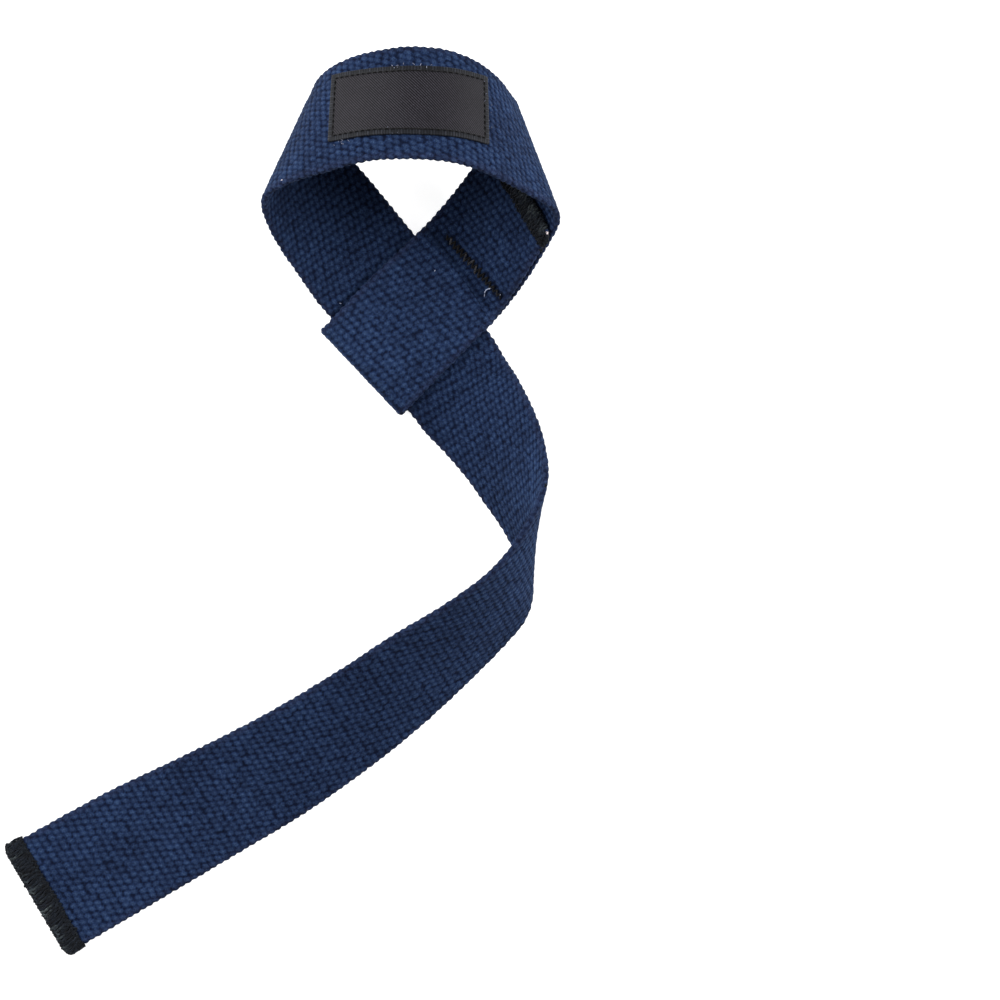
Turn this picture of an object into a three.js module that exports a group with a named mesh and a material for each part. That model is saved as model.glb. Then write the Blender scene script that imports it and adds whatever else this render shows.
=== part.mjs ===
// Lifting strap of woven cotton webbing, lying on a table.
// One length of webbing makes the sewn sleeve, the wrist loop and the half-twisted tail.
// Units are millimetres, +Z is up, and the origin is the middle of the bottom of the whole object.
// A place on the webbing is a distance from the sleeve's fold and a share of the way across it.
import * as THREE from 'three';

// Webbing
const webWidth = 38;
const webThickness = 2.2;
const layerGap = 0.3; // clear space between pieces that lie on each other

// Sleeve: the front layer runs from the fold back over the right leg to its cut end
const flapLength = 80.6;
const pocketClearance = 2.7; // spare width of the pocket that the left leg passes through
const comeDownLength = 5.1; // where the front layer comes down onto the right leg

// Row of stitches that closes the sleeve's pocket
const seamWidth = 1.8;
const seamLength = 28.1;
const seamThickness = 0.6;
const seamFromEdgeA = 2.3;
const seamSlant = 3.4; // its end near edge A is that much further from the fold

// Woven label on the outer face of the top band
const labelLength = 52.3;
const labelHeight = 23.1; // in its middle
const labelEndGain = 1; // it is that much higher at its ends
const labelThickness = 0.7;
const labelFromEdgeA = 7.6; // in its middle
const labelBow = 1.6; // its low edge leaves edge A by that much more at the ends
const labelSlant = 3.2; // shift of its high edge against its low edge
const labelPastCrown = 0.9; // from the top band's middle line to the label's middle

// Black thread wrapped round both ends of the webbing
const overlockDepth = 6;
const overlockThickness = 0.45;
const overlockGap = 0.25;
const pressSlope = 0.5; // length in which the pressed end comes up to the full thickness

// How finely the bodies are divided
const stationStep = 3.3; // between cross sections along the webbing
const labelStep = 3;
const columnCount = 6; // flat strips across one face, between the rounded edges
const foldSteps = 8;
const comeDownSteps = 5;
const seamSteps = 8;
const overlockSteps = 2;
const samplesPerLine = 24; // points of an edge between two cross lines
const normalReach = 1.2; // each way along the webbing when its tilt is measured

const layerStep = webThickness + layerGap;
const pocketLength = webWidth + pocketClearance;
const seamPlace = pocketLength + comeDownLength + seamWidth / 2;
const wrappedThickness = webThickness - 2 * (overlockGap + overlockThickness);
const pressLength = overlockDepth + overlockGap;

// Straight lines across the webbing from edge A to edge B, in order from the sleeve's fold to the
// free end. x and y are in webbing widths. A lift is the height, in widths, above the place where
// the webbing would rest flat, and layers counts the layers of webbing underneath.
const crossLines = [
  // place, ax, ay, aLift, bx, by, bLift, layers
  ['sleeve fold', 1.05, 0.76, 0, 0.37, 1.48, 0, 0],
  ['under the sleeve', 1.38, 1.1, 0, 0.74, 1.87, 0, 0],
  ['sleeve end', 1.77, 1.5, 0, 1.2, 2.31, 0, 0],
  ['right leg low', 1.9, 1.65, 0.15, 1.43, 2.55, 0.03, 0],
  ['right leg middle', 2.03, 1.82, 0.31, 1.64, 2.8, 0.14, 0],
  ['right leg high', 2.18, 2.05, 0.48, 1.81, 3.03, 0.28, 0],
  ['right bend start', 2.29, 2.25, 0.68, 1.91, 3.21, 0.47, 0],
  ['right bend', 2.29, 2.32, 0.79, 1.93, 3.28, 0.57, 0],
  ['right bend end', 2.24, 2.38, 0.91, 1.89, 3.33, 0.68, 0],
  ['top band right', 2.03, 2.48, 1.15, 1.78, 3.45, 0.91, 0],
  ['top band right rise', 1.78, 2.59, 1.4, 1.61, 3.56, 1.12, 0],
  ['top band near middle', 1.48, 2.68, 1.6, 1.38, 3.63, 1.28, 0],
  ['top band middle', 1.12, 2.71, 1.67, 1.11, 3.65, 1.34, 0],
  ['top band past middle', 0.76, 2.7, 1.6, 0.84, 3.63, 1.25, 0],
  ['top band left fall', 0.42, 2.63, 1.43, 0.56, 3.57, 1.08, 0],
  ['top band left', 0.12, 2.56, 1.23, 0.37, 3.47, 0.86, 0],
  ['left bend start', -0.09, 2.47, 1.01, 0.28, 3.34, 0.63, 0],
  ['left bend', -0.12, 2.4, 0.9, 0.24, 3.28, 0.54, 0],
  ['left bend end', -0.11, 2.32, 0.79, 0.24, 3.22, 0.45, 0],
  ['left leg high', -0.02, 2.11, 0.57, 0.4, 3.04, 0.34, 0],
  ['left leg middle', 0.13, 1.88, 0.34, 0.62, 2.8, 0.23, 0],
  ['left leg low', 0.28, 1.66, 0.15, 0.86, 2.52, 0.13, 0],
  ['into the sleeve', 0.42, 1.49, 0, 1.05, 2.29, 0, 1],
  ['in the sleeve', 0.71, 1.12, 0, 1.34, 1.92, 0, 1],
  ['out of the sleeve', 1.09, 0.69, 0, 1.75, 1.37, 0, 1],
  ['tail start', 1.19, 0.56, 0.02, 1.86, 1.18, 0.15, 0],
  ['tail rising', 1.32, 0.43, 0, 1.97, 1, 0.37, 0],
  ['tail higher', 1.54, 0.18, 0, 2.12, 0.67, 0.61, 0],
  ['before the turn', 1.67, 0, 0, 2.18, 0.45, 0.73, 0],
  ['turn start', 1.84, -0.24, 0, 2.2, 0.24, 0.82, 0],
  ['turn on edge A', 2.01, -0.56, 0, 2.17, 0.08, 0.87, 0],
  ['turn past edge A', 2.07, -0.82, 0, 2.08, -0.11, 0.87, 0],
  ['turn end', 2.01, -1.02, 0, 1.94, -0.35, 0.82, 0],
  ['after the turn', 1.9, -1.16, 0, 1.74, -0.58, 0.78, 0],
  ['lower tail upright', 1.52, -1.55, 0, 1.38, -0.85, 0.65, 0],
  ['lower tail leaning', 1.17, -1.88, 0, 0.94, -1.11, 0.55, 0],
  ['lower tail middle', 0.78, -2.2, 0, 0.53, -1.38, 0.43, 0],
  ['lower tail lower', 0.18, -2.63, 0, -0.1, -1.76, 0.26, 0],
  ['lower tail nearly flat', -0.45, -3.01, 0, -0.8, -2.12, 0.11, 0],
  ['flat end start', -1.07, -3.38, 0, -1.51, -2.46, 0, 0],
  ['free end', -1.8, -3.81, 0, -2.33, -2.91, 0, 0],
];

const lineCount = crossLines.length;
const sampleCount = samplesPerLine * (lineCount - 1);

function smoothStep(value) {
  const t = Math.min(Math.max(value, 0), 1);
  return t * t * (3 - 2 * t);
}

// An edge's x, y and lift as a smooth curve through its places in the table, in widths
function edgeCurve(column) {
  const points = crossLines.map((row) => new THREE.Vector3(...row.slice(column, column + 3)));
  return new THREE.CatmullRomCurve3(points, false, 'centripetal').getPoints(sampleCount);
}

// Height at which the webbing would rest flat on the layers underneath
function restingHeight(sample) {
  const line = Math.min(Math.floor(sample / samplesPerLine), lineCount - 2);
  const share = smoothStep(sample / samplesPerLine - line);
  const layers = crossLines[line][7] * (1 - share) + crossLines[line + 1][7] * share;
  return webThickness / 2 + layers * layerStep;
}

// Both edges as many points. A leaning webbing rests on its lower edge, so it sinks a little.
const edgeA = edgeCurve(1);
const edgeB = edgeCurve(4);
for (let i = 0; i <= sampleCount; i += 1) {
  for (const point of [edgeA[i], edgeB[i]]) {
    point.multiplyScalar(webWidth);
    point.z = restingHeight(i) + Math.max(point.z, 0);
  }
  const lean = (edgeA[i].z - edgeB[i].z) / edgeA[i].distanceTo(edgeB[i]);
  const sink = (webThickness / 2) * (1 - Math.sqrt(1 - lean * lean));
  edgeA[i].z -= sink;
  edgeB[i].z -= sink;
}

function distances(points) {
  const along = [0];
  for (let i = 1; i < points.length; i += 1) {
    along.push(along[i - 1] + points[i].distanceTo(points[i - 1]));
  }
  return along;
}

// The two edges are one woven length, so their distances are brought to the same total
const alongA = distances(edgeA);
const alongB = distances(edgeB);
const webLength = (alongA.at(-1) + alongB.at(-1)) / 2;
const stretchA = webLength / alongA.at(-1);
const stretchB = webLength / alongB.at(-1);

// Distance from the fold at one point of the edges, at a share of the way across
function distanceAt(sample, across) {
  return (1 - across) * alongA[sample] * stretchA + across * alongB[sample] * stretchB;
}

// Middle of the webbing's thickness, at a distance from the fold and a share of the way across
function middlePoint(distance, across) {
  let low = 0;
  let high = sampleCount;
  while (high - low > 1) {
    const half = Math.floor((low + high) / 2);
    if (distanceAt(half, across) > distance) {
      high = half;
    } else {
      low = half;
    }
  }
  const before = distanceAt(low, across);
  const part = (distance - before) / (distanceAt(high, across) - before);
  const onA = edgeA[low].clone().lerp(edgeA[high], part);
  const onB = edgeB[low].clone().lerp(edgeB[high], part);
  return onA.lerp(onB, across);
}

// Direction across the webbing from edge A to edge B
function sidewaysAt(distance) {
  return middlePoint(distance, 1).sub(middlePoint(distance, 0)).normalize();
}

// Unit vector off the webbing's inner face, the face that lines the wrist loop
function innerNormal(distance, across) {
  const from = Math.max(distance - normalReach, 0);
  const to = Math.min(distance + normalReach, webLength);
  const along = middlePoint(to, across).sub(middlePoint(from, across));
  return along.cross(sidewaysAt(distance)).normalize();
}

// Height of the front layer over the right leg, at a distance from the fold
function flapHeight(distance) {
  return layerStep * (2 - smoothStep((distance - pocketLength) / comeDownLength));
}

// A point of the whole strap: where the middle of its thickness is, and the inner face's normal.
// Distances below zero are the fold and then the front layer back to its cut end.
const foldRadius = layerStep;
const foldLength = Math.PI * foldRadius;
const strapStart = -(foldLength + flapLength);

function strapPoint(distance, across) {
  if (distance >= 0) {
    return { middle: middlePoint(distance, across), inner: innerNormal(distance, across) };
  }
  if (distance > -foldLength) {
    const turned = -distance / foldRadius;
    const up = innerNormal(0, across);
    const outward = up.clone().cross(sidewaysAt(0)).normalize();
    const inner = up.clone().multiplyScalar(Math.cos(turned));
    inner.addScaledVector(outward, -Math.sin(turned));
    const middle = middlePoint(0, across).addScaledVector(up, foldRadius);
    middle.addScaledVector(inner, -foldRadius);
    return { middle, inner };
  }
  const back = -distance - foldLength;
  const inner = innerNormal(back, across);
  const middle = middlePoint(back, across).addScaledVector(inner, flapHeight(back));
  return { middle, inner: inner.negate() };
}

// A point at a height off the middle of the thickness, towards the inner face
function raisedPoint(distance, across, height) {
  const { middle, inner } = strapPoint(distance, across);
  return middle.addScaledVector(inner, height);
}

// Numbers from one value to another in equal steps, both ends included
function evenly(from, to, steps) {
  return Array.from({ length: steps + 1 }, (_, i) => from + ((to - from) * i) / steps);
}

// Closes rings of points into one body, with both end rings filled by rows across the webbing.
// Each ring goes once round its section, first over the inner face from edge A to edge B.
function bodyOfRings(name, rings, look) {
  const faces = [];
  const size = rings[0].length;
  for (let i = 0; i + 1 < rings.length; i += 1) {
    for (let j = 0; j < size; j += 1) {
      const next = (j + 1) % size;
      const a = i * size + j;
      const b = i * size + next;
      const c = (i + 1) * size + next;
      const d = (i + 1) * size + j;
      faces.push(a, c, b, a, d, c);
    }
  }
  const last = (rings.length - 1) * size;
  for (let j = 0; j < size / 2 - 1; j += 1) {
    const far = size - 1 - j;
    faces.push(j, far - 1, far, j, j + 1, far - 1);
    faces.push(last + j, last + far, last + far - 1, last + j, last + far - 1, last + j + 1);
  }
  const geometry = new THREE.BufferGeometry().setFromPoints(rings.flat());
  geometry.setIndex(faces);
  geometry.computeVertexNormals();
  const mesh = new THREE.Mesh(geometry, new THREE.MeshStandardMaterial(look));
  mesh.name = name;
  return mesh;
}

// Cross section of the webbing: shares across and heights in half thicknesses, once round
const edgeRadius = webThickness / 2;
const roundedEdge = [
  // inwards from the edge, height
  [0, 0],
  [0.3, 0.7],
  [1, 1],
];

function sectionRing() {
  const near = roundedEdge.map(([inward, height]) => [(inward * edgeRadius) / webWidth, height]);
  const far = near.map(([across, height]) => [1 - across, height]).reverse();
  const inside = evenly(0, 1, columnCount).slice(1, -1).map((across) => [across, 1]);
  const face = [...near, ...inside, ...far];
  const back = face.slice(1, -1).reverse();
  return [...face, ...back.map(([across, height]) => [across, -height])];
}

const section = sectionRing();

// Half thickness of the webbing, pressed thinner where the thread is wrapped round its ends
function halfThickness(distance) {
  const fromEnd = Math.min(distance - strapStart, webLength - distance);
  const risen = smoothStep((fromEnd - pressLength) / pressSlope);
  return (wrappedThickness + (webThickness - wrappedThickness) * risen) / 2;
}

function buildWebbing() {
  const comeDownStart = -(foldLength + pocketLength);
  const comeDownEnd = comeDownStart - comeDownLength;
  const spans = [
    // from, to, step
    [strapStart, strapStart + pressLength, stationStep],
    [strapStart + pressLength, strapStart + pressLength + pressSlope, pressSlope],
    [strapStart + pressLength + pressSlope, comeDownEnd, stationStep],
    [comeDownEnd, comeDownStart, comeDownLength / comeDownSteps],
    [comeDownStart, -foldLength, stationStep],
    [-foldLength, 0, foldLength / foldSteps],
    [0, webLength - pressLength - pressSlope, stationStep],
    [webLength - pressLength - pressSlope, webLength - pressLength, pressSlope],
    [webLength - pressLength, webLength, stationStep],
  ];
  const stations = spans.flatMap(([from, to, step]) =>
    evenly(from, to, Math.max(1, Math.round((to - from) / step))).slice(0, -1),
  );
  stations.push(webLength);
  const rings = stations.map((distance) => {
    const half = halfThickness(distance);
    return section.map(([across, height]) => raisedPoint(distance, across, height * half));
  });
  return bodyOfRings('webbing', rings, { color: 0x22304f, roughness: 0.95, metalness: 0 });
}

// A thin slab on the outer face of the strap. Each row lists places as distance and share across.
function slabOnOuterFace(name, rows, thickness, look) {
  const under = -(webThickness / 2 + layerGap);
  const rings = rows.map((row) => {
    const facing = row.map(([distance, across]) => raisedPoint(distance, across, under));
    const away = row.map(([distance, across]) => raisedPoint(distance, across, under - thickness));
    return [...facing, ...away.reverse()];
  });
  return bodyOfRings(name, rings, look);
}

// Woven label, centred on the top band's middle line
function buildLabel() {
  const crown = crossLines.findIndex(([place]) => place === 'top band middle');
  const middle = distanceAt(crown * samplesPerLine, 0.5) + labelPastCrown;
  const steps = Math.ceil(labelLength / labelStep);
  const rows = evenly(-1, 1, steps).map((side) => {
    const low = labelFromEdgeA + labelBow * side ** 2;
    const height = labelHeight + labelEndGain * side ** 2;
    return evenly(0, 1, columnCount).map((share) => [
      middle + (side * labelLength) / 2 - labelSlant * (share - 0.5),
      (low + height * share) / webWidth,
    ]);
  });
  const look = { color: 0x37363c, roughness: 0.7, metalness: 0 };
  return slabOnOuterFace('label_patch', rows, labelThickness, look);
}

// Row of stitches over the front layer, where it has come down onto the right leg
function buildSeam() {
  const middle = -(foldLength + seamPlace);
  const low = seamFromEdgeA / webWidth;
  const shares = evenly(low, low + seamLength / webWidth, seamSteps);
  const rows = evenly(-seamWidth / 2, seamWidth / 2, 2).map((offset) =>
    shares.map((across, i) => [middle + offset - seamSlant * (1 - i / seamSteps), across]),
  );
  const look = { color: 0x0b0d12, roughness: 0.85, metalness: 0 };
  return slabOnOuterFace('sleeve_seam', rows, seamThickness, look);
}

// Cup of wrapped thread over an end of the webbing. outward is 1 at the free end, -1 at the other.
function buildOverlock(name, end, outward) {
  const heading = strapPoint(end, 0.5).middle.sub(strapPoint(end - outward, 0.5).middle);
  heading.normalize();

  // One ring of the cup, at a distance past the end and with a margin round the pressed webbing
  const cupRing = (past, margin) => {
    const spread = 1 + (2 * margin) / webWidth;
    return section.map(([across, height]) => {
      const onWebbing = end + outward * Math.min(past, 0);
      const half = wrappedThickness / 2 + margin;
      const point = raisedPoint(onWebbing, 0.5 + (across - 0.5) * spread, height * half);
      return point.addScaledVector(heading, Math.max(past, 0));
    });
  };
  const shell = (margin) => [
    ...evenly(-overlockDepth, 0, overlockSteps).map((past) => cupRing(past, margin)),
    cupRing(margin, margin),
  ];
  const rings = [...shell(overlockGap).reverse(), ...shell(overlockGap + overlockThickness)];
  const look = { color: 0x0b0d12, roughness: 0.85, metalness: 0 };
  return bodyOfRings(name, outward > 0 ? rings : rings.reverse(), look);
}

const strap = new THREE.Group();
strap.name = 'lifting_strap';
strap.add(
  buildWebbing(),
  buildLabel(),
  buildSeam(),
  buildOverlock('tail_end_overlock', webLength, 1),
  buildOverlock('sewn_end_overlock', strapStart, -1),
);

// The origin goes to the middle of the bottom of the whole object
const box = new THREE.Box3().setFromObject(strap);
const centre = box.getCenter(new THREE.Vector3());
strap.children.forEach((mesh) => mesh.geometry.translate(-centre.x, -centre.y, -box.min.z));

export default strap;
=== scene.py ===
"""A lifting strap of navy cotton webbing, lying on a pale table and seen straight from above.

Lengths are in millimetres, and a mesh gets them in metres. A place on the webbing is its distance
from the sleeve's fold and its share of the way across, from edge A to edge B.
"""
import math

import bpy
import numpy as np
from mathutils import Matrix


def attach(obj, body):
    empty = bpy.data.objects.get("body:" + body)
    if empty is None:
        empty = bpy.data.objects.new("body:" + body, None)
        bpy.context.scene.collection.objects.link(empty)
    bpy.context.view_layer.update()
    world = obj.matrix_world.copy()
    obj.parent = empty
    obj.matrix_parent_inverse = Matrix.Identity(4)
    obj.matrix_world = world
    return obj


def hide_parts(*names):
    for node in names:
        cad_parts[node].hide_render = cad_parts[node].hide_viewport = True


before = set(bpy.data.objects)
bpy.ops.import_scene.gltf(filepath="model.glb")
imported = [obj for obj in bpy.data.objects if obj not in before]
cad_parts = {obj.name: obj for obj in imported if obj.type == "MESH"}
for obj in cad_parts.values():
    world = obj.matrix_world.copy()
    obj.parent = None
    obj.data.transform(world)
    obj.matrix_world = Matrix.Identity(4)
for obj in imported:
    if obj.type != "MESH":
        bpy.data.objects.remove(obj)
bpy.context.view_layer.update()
scene = bpy.context.scene

METRES_PER_MM = 0.001

# Webbing and sleeve, as the solids have them
WEB_WIDTH = 38.0
WEB_THICKNESS = 2.2
LAYER_GAP = 0.3
FLAP_LENGTH = 80.6
POCKET_LENGTH = 40.7
COME_DOWN_LENGTH = 5.1
SEAM_WIDTH = 1.8
SEAM_LENGTH = 28.1
SEAM_FROM_EDGE_A = 2.3
SEAM_SLANT = 3.4
LABEL_LENGTH = 52.3
LABEL_HEIGHT = 23.1
LABEL_END_GAIN = 1.0
LABEL_FROM_EDGE_A = 7.6
LABEL_BOW = 1.6
LABEL_SLANT = 3.2
LABEL_PAST_CROWN = 0.9
LAYER_STEP = WEB_THICKNESS + LAYER_GAP
SAMPLES_PER_LINE = 24
NORMAL_REACH = 1.2

# Weave: warp grains in a brick bond, a row for every pick
PICK_LENGTH = 2.4
GRAINS_AROUND = 40
COLUMNS_PER_GRAIN = 6
ROWS_PER_PICK = 5
CORE_HALF = 0.68
GRAIN_RISE = 0.42
GRAIN_LONG = 1.48
GRAIN_SHORT = 1.12
EDGE_BEAD = 0.12
EDGE_INSET = 1.1
GRAIN_LOWEST = 0.74
GRAIN_LEAN = -0.42
GRAIN_LEAN_SPREAD = 0.22
GRAIN_SHIFT_SPREAD = 0.14
RANDOM_ROWS = 512
SELVEDGE_FADE = 1.6
PRESSED_HALF = 0.4
PRESSED_LENGTH = 5.0
PRESSED_FADE = 1.2
SEAM_PRESS = 0.22
SEAM_PRESS_REACH = 2.2
SEAM_PRESS_FADE = 1.3
SEAM_END_FADE = 0.8

# Straight lines across the webbing from edge A to edge B, in order from the sleeve's fold to the
# free end. x, y and lift are in webbing widths, and layers counts the webbing underneath.
CROSS_LINES = [
    # ax, ay, aLift, bx, by, bLift, layers
    (1.05, 0.76, 0, 0.37, 1.48, 0, 0),  # sleeve fold
    (1.38, 1.1, 0, 0.74, 1.87, 0, 0),  # under the sleeve
    (1.77, 1.5, 0, 1.2, 2.31, 0, 0),  # sleeve end
    (1.9, 1.65, 0.15, 1.43, 2.55, 0.03, 0),  # right leg low
    (2.03, 1.82, 0.31, 1.64, 2.8, 0.14, 0),  # right leg middle
    (2.18, 2.05, 0.48, 1.81, 3.03, 0.28, 0),  # right leg high
    (2.29, 2.25, 0.68, 1.91, 3.21, 0.47, 0),  # right bend start
    (2.29, 2.32, 0.79, 1.93, 3.28, 0.57, 0),  # right bend
    (2.24, 2.38, 0.91, 1.89, 3.33, 0.68, 0),  # right bend end
    (2.03, 2.48, 1.15, 1.78, 3.45, 0.91, 0),  # top band right
    (1.78, 2.59, 1.4, 1.61, 3.56, 1.12, 0),  # top band right rise
    (1.48, 2.68, 1.6, 1.38, 3.63, 1.28, 0),  # top band near middle
    (1.12, 2.71, 1.67, 1.11, 3.65, 1.34, 0),  # top band middle
    (0.76, 2.7, 1.6, 0.84, 3.63, 1.25, 0),  # top band past middle
    (0.42, 2.63, 1.43, 0.56, 3.57, 1.08, 0),  # top band left fall
    (0.12, 2.56, 1.23, 0.37, 3.47, 0.86, 0),  # top band left
    (-0.09, 2.47, 1.01, 0.28, 3.34, 0.63, 0),  # left bend start
    (-0.12, 2.4, 0.9, 0.24, 3.28, 0.54, 0),  # left bend
    (-0.11, 2.32, 0.79, 0.24, 3.22, 0.45, 0),  # left bend end
    (-0.02, 2.11, 0.57, 0.4, 3.04, 0.34, 0),  # left leg high
    (0.13, 1.88, 0.34, 0.62, 2.8, 0.23, 0),  # left leg middle
    (0.28, 1.66, 0.15, 0.86, 2.52, 0.13, 0),  # left leg low
    (0.42, 1.49, 0, 1.05, 2.29, 0, 1),  # into the sleeve
    (0.71, 1.12, 0, 1.34, 1.92, 0, 1),  # in the sleeve
    (1.09, 0.69, 0, 1.75, 1.37, 0, 1),  # out of the sleeve
    (1.19, 0.56, 0.02, 1.86, 1.18, 0.15, 0),  # tail start
    (1.32, 0.43, 0, 1.97, 1, 0.37, 0),  # tail rising
    (1.54, 0.18, 0, 2.12, 0.67, 0.61, 0),  # tail higher
    (1.67, 0, 0, 2.18, 0.45, 0.73, 0),  # before the turn
    (1.84, -0.24, 0, 2.2, 0.24, 0.82, 0),  # turn start
    (2.01, -0.56, 0, 2.17, 0.08, 0.87, 0),  # turn on edge A
    (2.07, -0.82, 0, 2.08, -0.11, 0.87, 0),  # turn past edge A
    (2.01, -1.02, 0, 1.94, -0.35, 0.82, 0),  # turn end
    (1.9, -1.16, 0, 1.74, -0.58, 0.78, 0),  # after the turn
    (1.52, -1.55, 0, 1.38, -0.85, 0.65, 0),  # lower tail upright
    (1.17, -1.88, 0, 0.94, -1.11, 0.55, 0),  # lower tail leaning
    (0.78, -2.2, 0, 0.53, -1.38, 0.43, 0),  # lower tail middle
    (0.18, -2.63, 0, -0.1, -1.76, 0.26, 0),  # lower tail lower
    (-0.45, -3.01, 0, -0.8, -2.12, 0.11, 0),  # lower tail nearly flat
    (-1.07, -3.38, 0, -1.51, -2.46, 0, 0),  # flat end start
    (-1.8, -3.81, 0, -2.33, -2.91, 0, 0),  # free end
]

seeded = np.random.default_rng(38)


# Where the webbing runs

def smooth_step(value):
    """0 before 0, 1 after 1 and an even rise between."""
    part = np.clip(value, 0.0, 1.0)
    return part * part * (3.0 - 2.0 * part)


def edge_curve(column):
    """An edge's x, y and lift as a smooth curve through its places in the table."""
    knots = np.array([row[column:column + 3] for row in CROSS_LINES], float)
    knots = np.vstack([2 * knots[0] - knots[1], knots, 2 * knots[-1] - knots[-2]])
    gaps = np.sqrt(np.linalg.norm(np.diff(knots, axis=0), axis=1))
    points = []
    for i in range(1, len(knots) - 2):
        p0, p1, p2, p3 = knots[i - 1:i + 3]
        g0, g1, g2 = gaps[i - 1:i + 2]
        leave = ((p1 - p0) / g0 - (p2 - p0) / (g0 + g1) + (p2 - p1) / g1) * g1
        arrive = ((p2 - p1) / g1 - (p3 - p1) / (g1 + g2) + (p3 - p2) / g2) * g1
        for t in np.arange(SAMPLES_PER_LINE) / SAMPLES_PER_LINE:
            points.append(
                p1 + leave * t
                + (3 * (p2 - p1) - 2 * leave - arrive) * t ** 2
                + (2 * (p1 - p2) + leave + arrive) * t ** 3
            )
    points.append(knots[-2])
    return np.array(points)


def resting_heights():
    """Height of the webbing's middle where it would rest flat on the layers underneath."""
    layers = np.array([row[6] for row in CROSS_LINES], float)
    place = np.arange(SAMPLES_PER_LINE * (len(layers) - 1) + 1) / SAMPLES_PER_LINE
    line = np.minimum(place.astype(int), len(layers) - 2)
    share = smooth_step(place - line)
    return WEB_THICKNESS / 2 + (layers[line] * (1 - share) + layers[line + 1] * share) * LAYER_STEP


def lay_edges():
    """Both edges in millimetres. A leaning webbing rests on its lower edge, so it sinks a little."""
    a, b = edge_curve(0) * WEB_WIDTH, edge_curve(3) * WEB_WIDTH
    resting = resting_heights()
    for edge in (a, b):
        edge[:, 2] = resting + np.maximum(edge[:, 2], 0)
    lean = (a[:, 2] - b[:, 2]) / np.linalg.norm(a - b, axis=1)
    sink = WEB_THICKNESS / 2 * (1 - np.sqrt(1 - lean ** 2))
    a[:, 2] -= sink
    b[:, 2] -= sink
    return a, b


def lengths_along(edge):
    return np.concatenate([[0.0], np.cumsum(np.linalg.norm(np.diff(edge, axis=0), axis=1))])


edge_a, edge_b = lay_edges()
along_a, along_b = lengths_along(edge_a), lengths_along(edge_b)
WEB_LENGTH = (along_a[-1] + along_b[-1]) / 2
along_a *= WEB_LENGTH / along_a[-1]
along_b *= WEB_LENGTH / along_b[-1]

# The solids stand with the middle of their bottom on the origin, and so does everything here
OFFSET = np.array([0.8479, 3.5282, 0.0])


def middle_point(distance, across):
    """Middle of the thickness, for arrays of distances from the fold and shares across."""
    low = np.zeros(distance.shape, int)
    high = np.full(distance.shape, len(edge_a) - 1)
    while np.any(high - low > 1):
        half = np.where(high - low > 1, (low + high) // 2, low)
        beyond = (1 - across) * along_a[half] + across * along_b[half] > distance
        beyond &= high - low > 1
        high = np.where(beyond, half, high)
        low = np.where(beyond, low, half)
    before = (1 - across) * along_a[low] + across * along_b[low]
    after = (1 - across) * along_a[high] + across * along_b[high]
    part = ((distance - before) / (after - before))[:, None]
    on_a = edge_a[low] * (1 - part) + edge_a[high] * part
    on_b = edge_b[low] * (1 - part) + edge_b[high] * part
    return on_a + (on_b - on_a) * across[:, None]


def unit(vectors):
    return vectors / np.linalg.norm(vectors, axis=1)[:, None]


def sideways_at(distance):
    """Direction across the webbing from edge A to edge B."""
    return unit(middle_point(distance, np.ones_like(distance))
                - middle_point(distance, np.zeros_like(distance)))


def inner_normal(distance, across):
    """Unit vector off the face that lines the wrist loop."""
    start = np.maximum(distance - NORMAL_REACH, 0)
    stop = np.minimum(distance + NORMAL_REACH, WEB_LENGTH)
    along = middle_point(stop, across) - middle_point(start, across)
    return unit(np.cross(along, sideways_at(distance)))


FOLD_LENGTH = math.pi * LAYER_STEP
STRAP_START = -(FOLD_LENGTH + FLAP_LENGTH)
SEAM_PLACE = -(FOLD_LENGTH + POCKET_LENGTH + COME_DOWN_LENGTH + SEAM_WIDTH / 2)
CROWN_LINE = 12  # the top band's middle line in the table


def strap_frame(distance, across):
    """Middle of the thickness, inner normal and sideways direction. Below zero distance come the
    fold and then the sleeve's front layer, back to its cut end."""
    distance, across = np.broadcast_arrays(np.asarray(distance, float), np.asarray(across, float))
    folding = (distance < 0) & (distance > -FOLD_LENGTH)
    on_flap = distance <= -FOLD_LENGTH
    run = np.where(folding, 0.0, np.where(on_flap, -distance - FOLD_LENGTH, distance))
    middle, inner = middle_point(run, across), inner_normal(run, across)
    sideways = sideways_at(run)
    turned = np.where(folding, -distance / LAYER_STEP, 0.0)[:, None]
    outward = unit(np.cross(inner, sideways))
    swung = inner * np.cos(turned) - outward * np.sin(turned)
    middle = middle + np.where(folding[:, None], (inner - swung) * LAYER_STEP, 0.0)
    come_down = smooth_step((run - POCKET_LENGTH) / COME_DOWN_LENGTH)
    flap_height = (LAYER_STEP * (2 - come_down))[:, None]
    middle = middle + np.where(on_flap[:, None], inner * flap_height, 0.0)
    inner = np.where(on_flap[:, None], -inner, swung)
    return middle + OFFSET, inner, sideways


# Making meshes

MERGE_REACH = 0.004
THREAD_SIDES = 6
THREAD_END_TAPER = 0.35


def flat_grid(name, steps_along, steps_across):
    """A new flat grid with its own UV map, and the shares of its points along and across."""
    bpy.ops.object.select_all(action="DESELECT")
    bpy.ops.mesh.primitive_grid_add(
        x_subdivisions=steps_along, y_subdivisions=steps_across, size=1, calc_uvs=True)
    piece = bpy.context.object
    piece.name = name
    piece.data.name = name
    places = np.empty(len(piece.data.vertices) * 3)
    piece.data.vertices.foreach_get("co", places)
    places = places.reshape(-1, 3)
    return piece, places[:, 0] + 0.5, places[:, 1] + 0.5


def shape_to(piece, points):
    """Moves every point of a piece to its place in millimetres."""
    piece.data.vertices.foreach_set("co", (points * METRES_PER_MM).ravel())
    piece.data.update()


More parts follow.
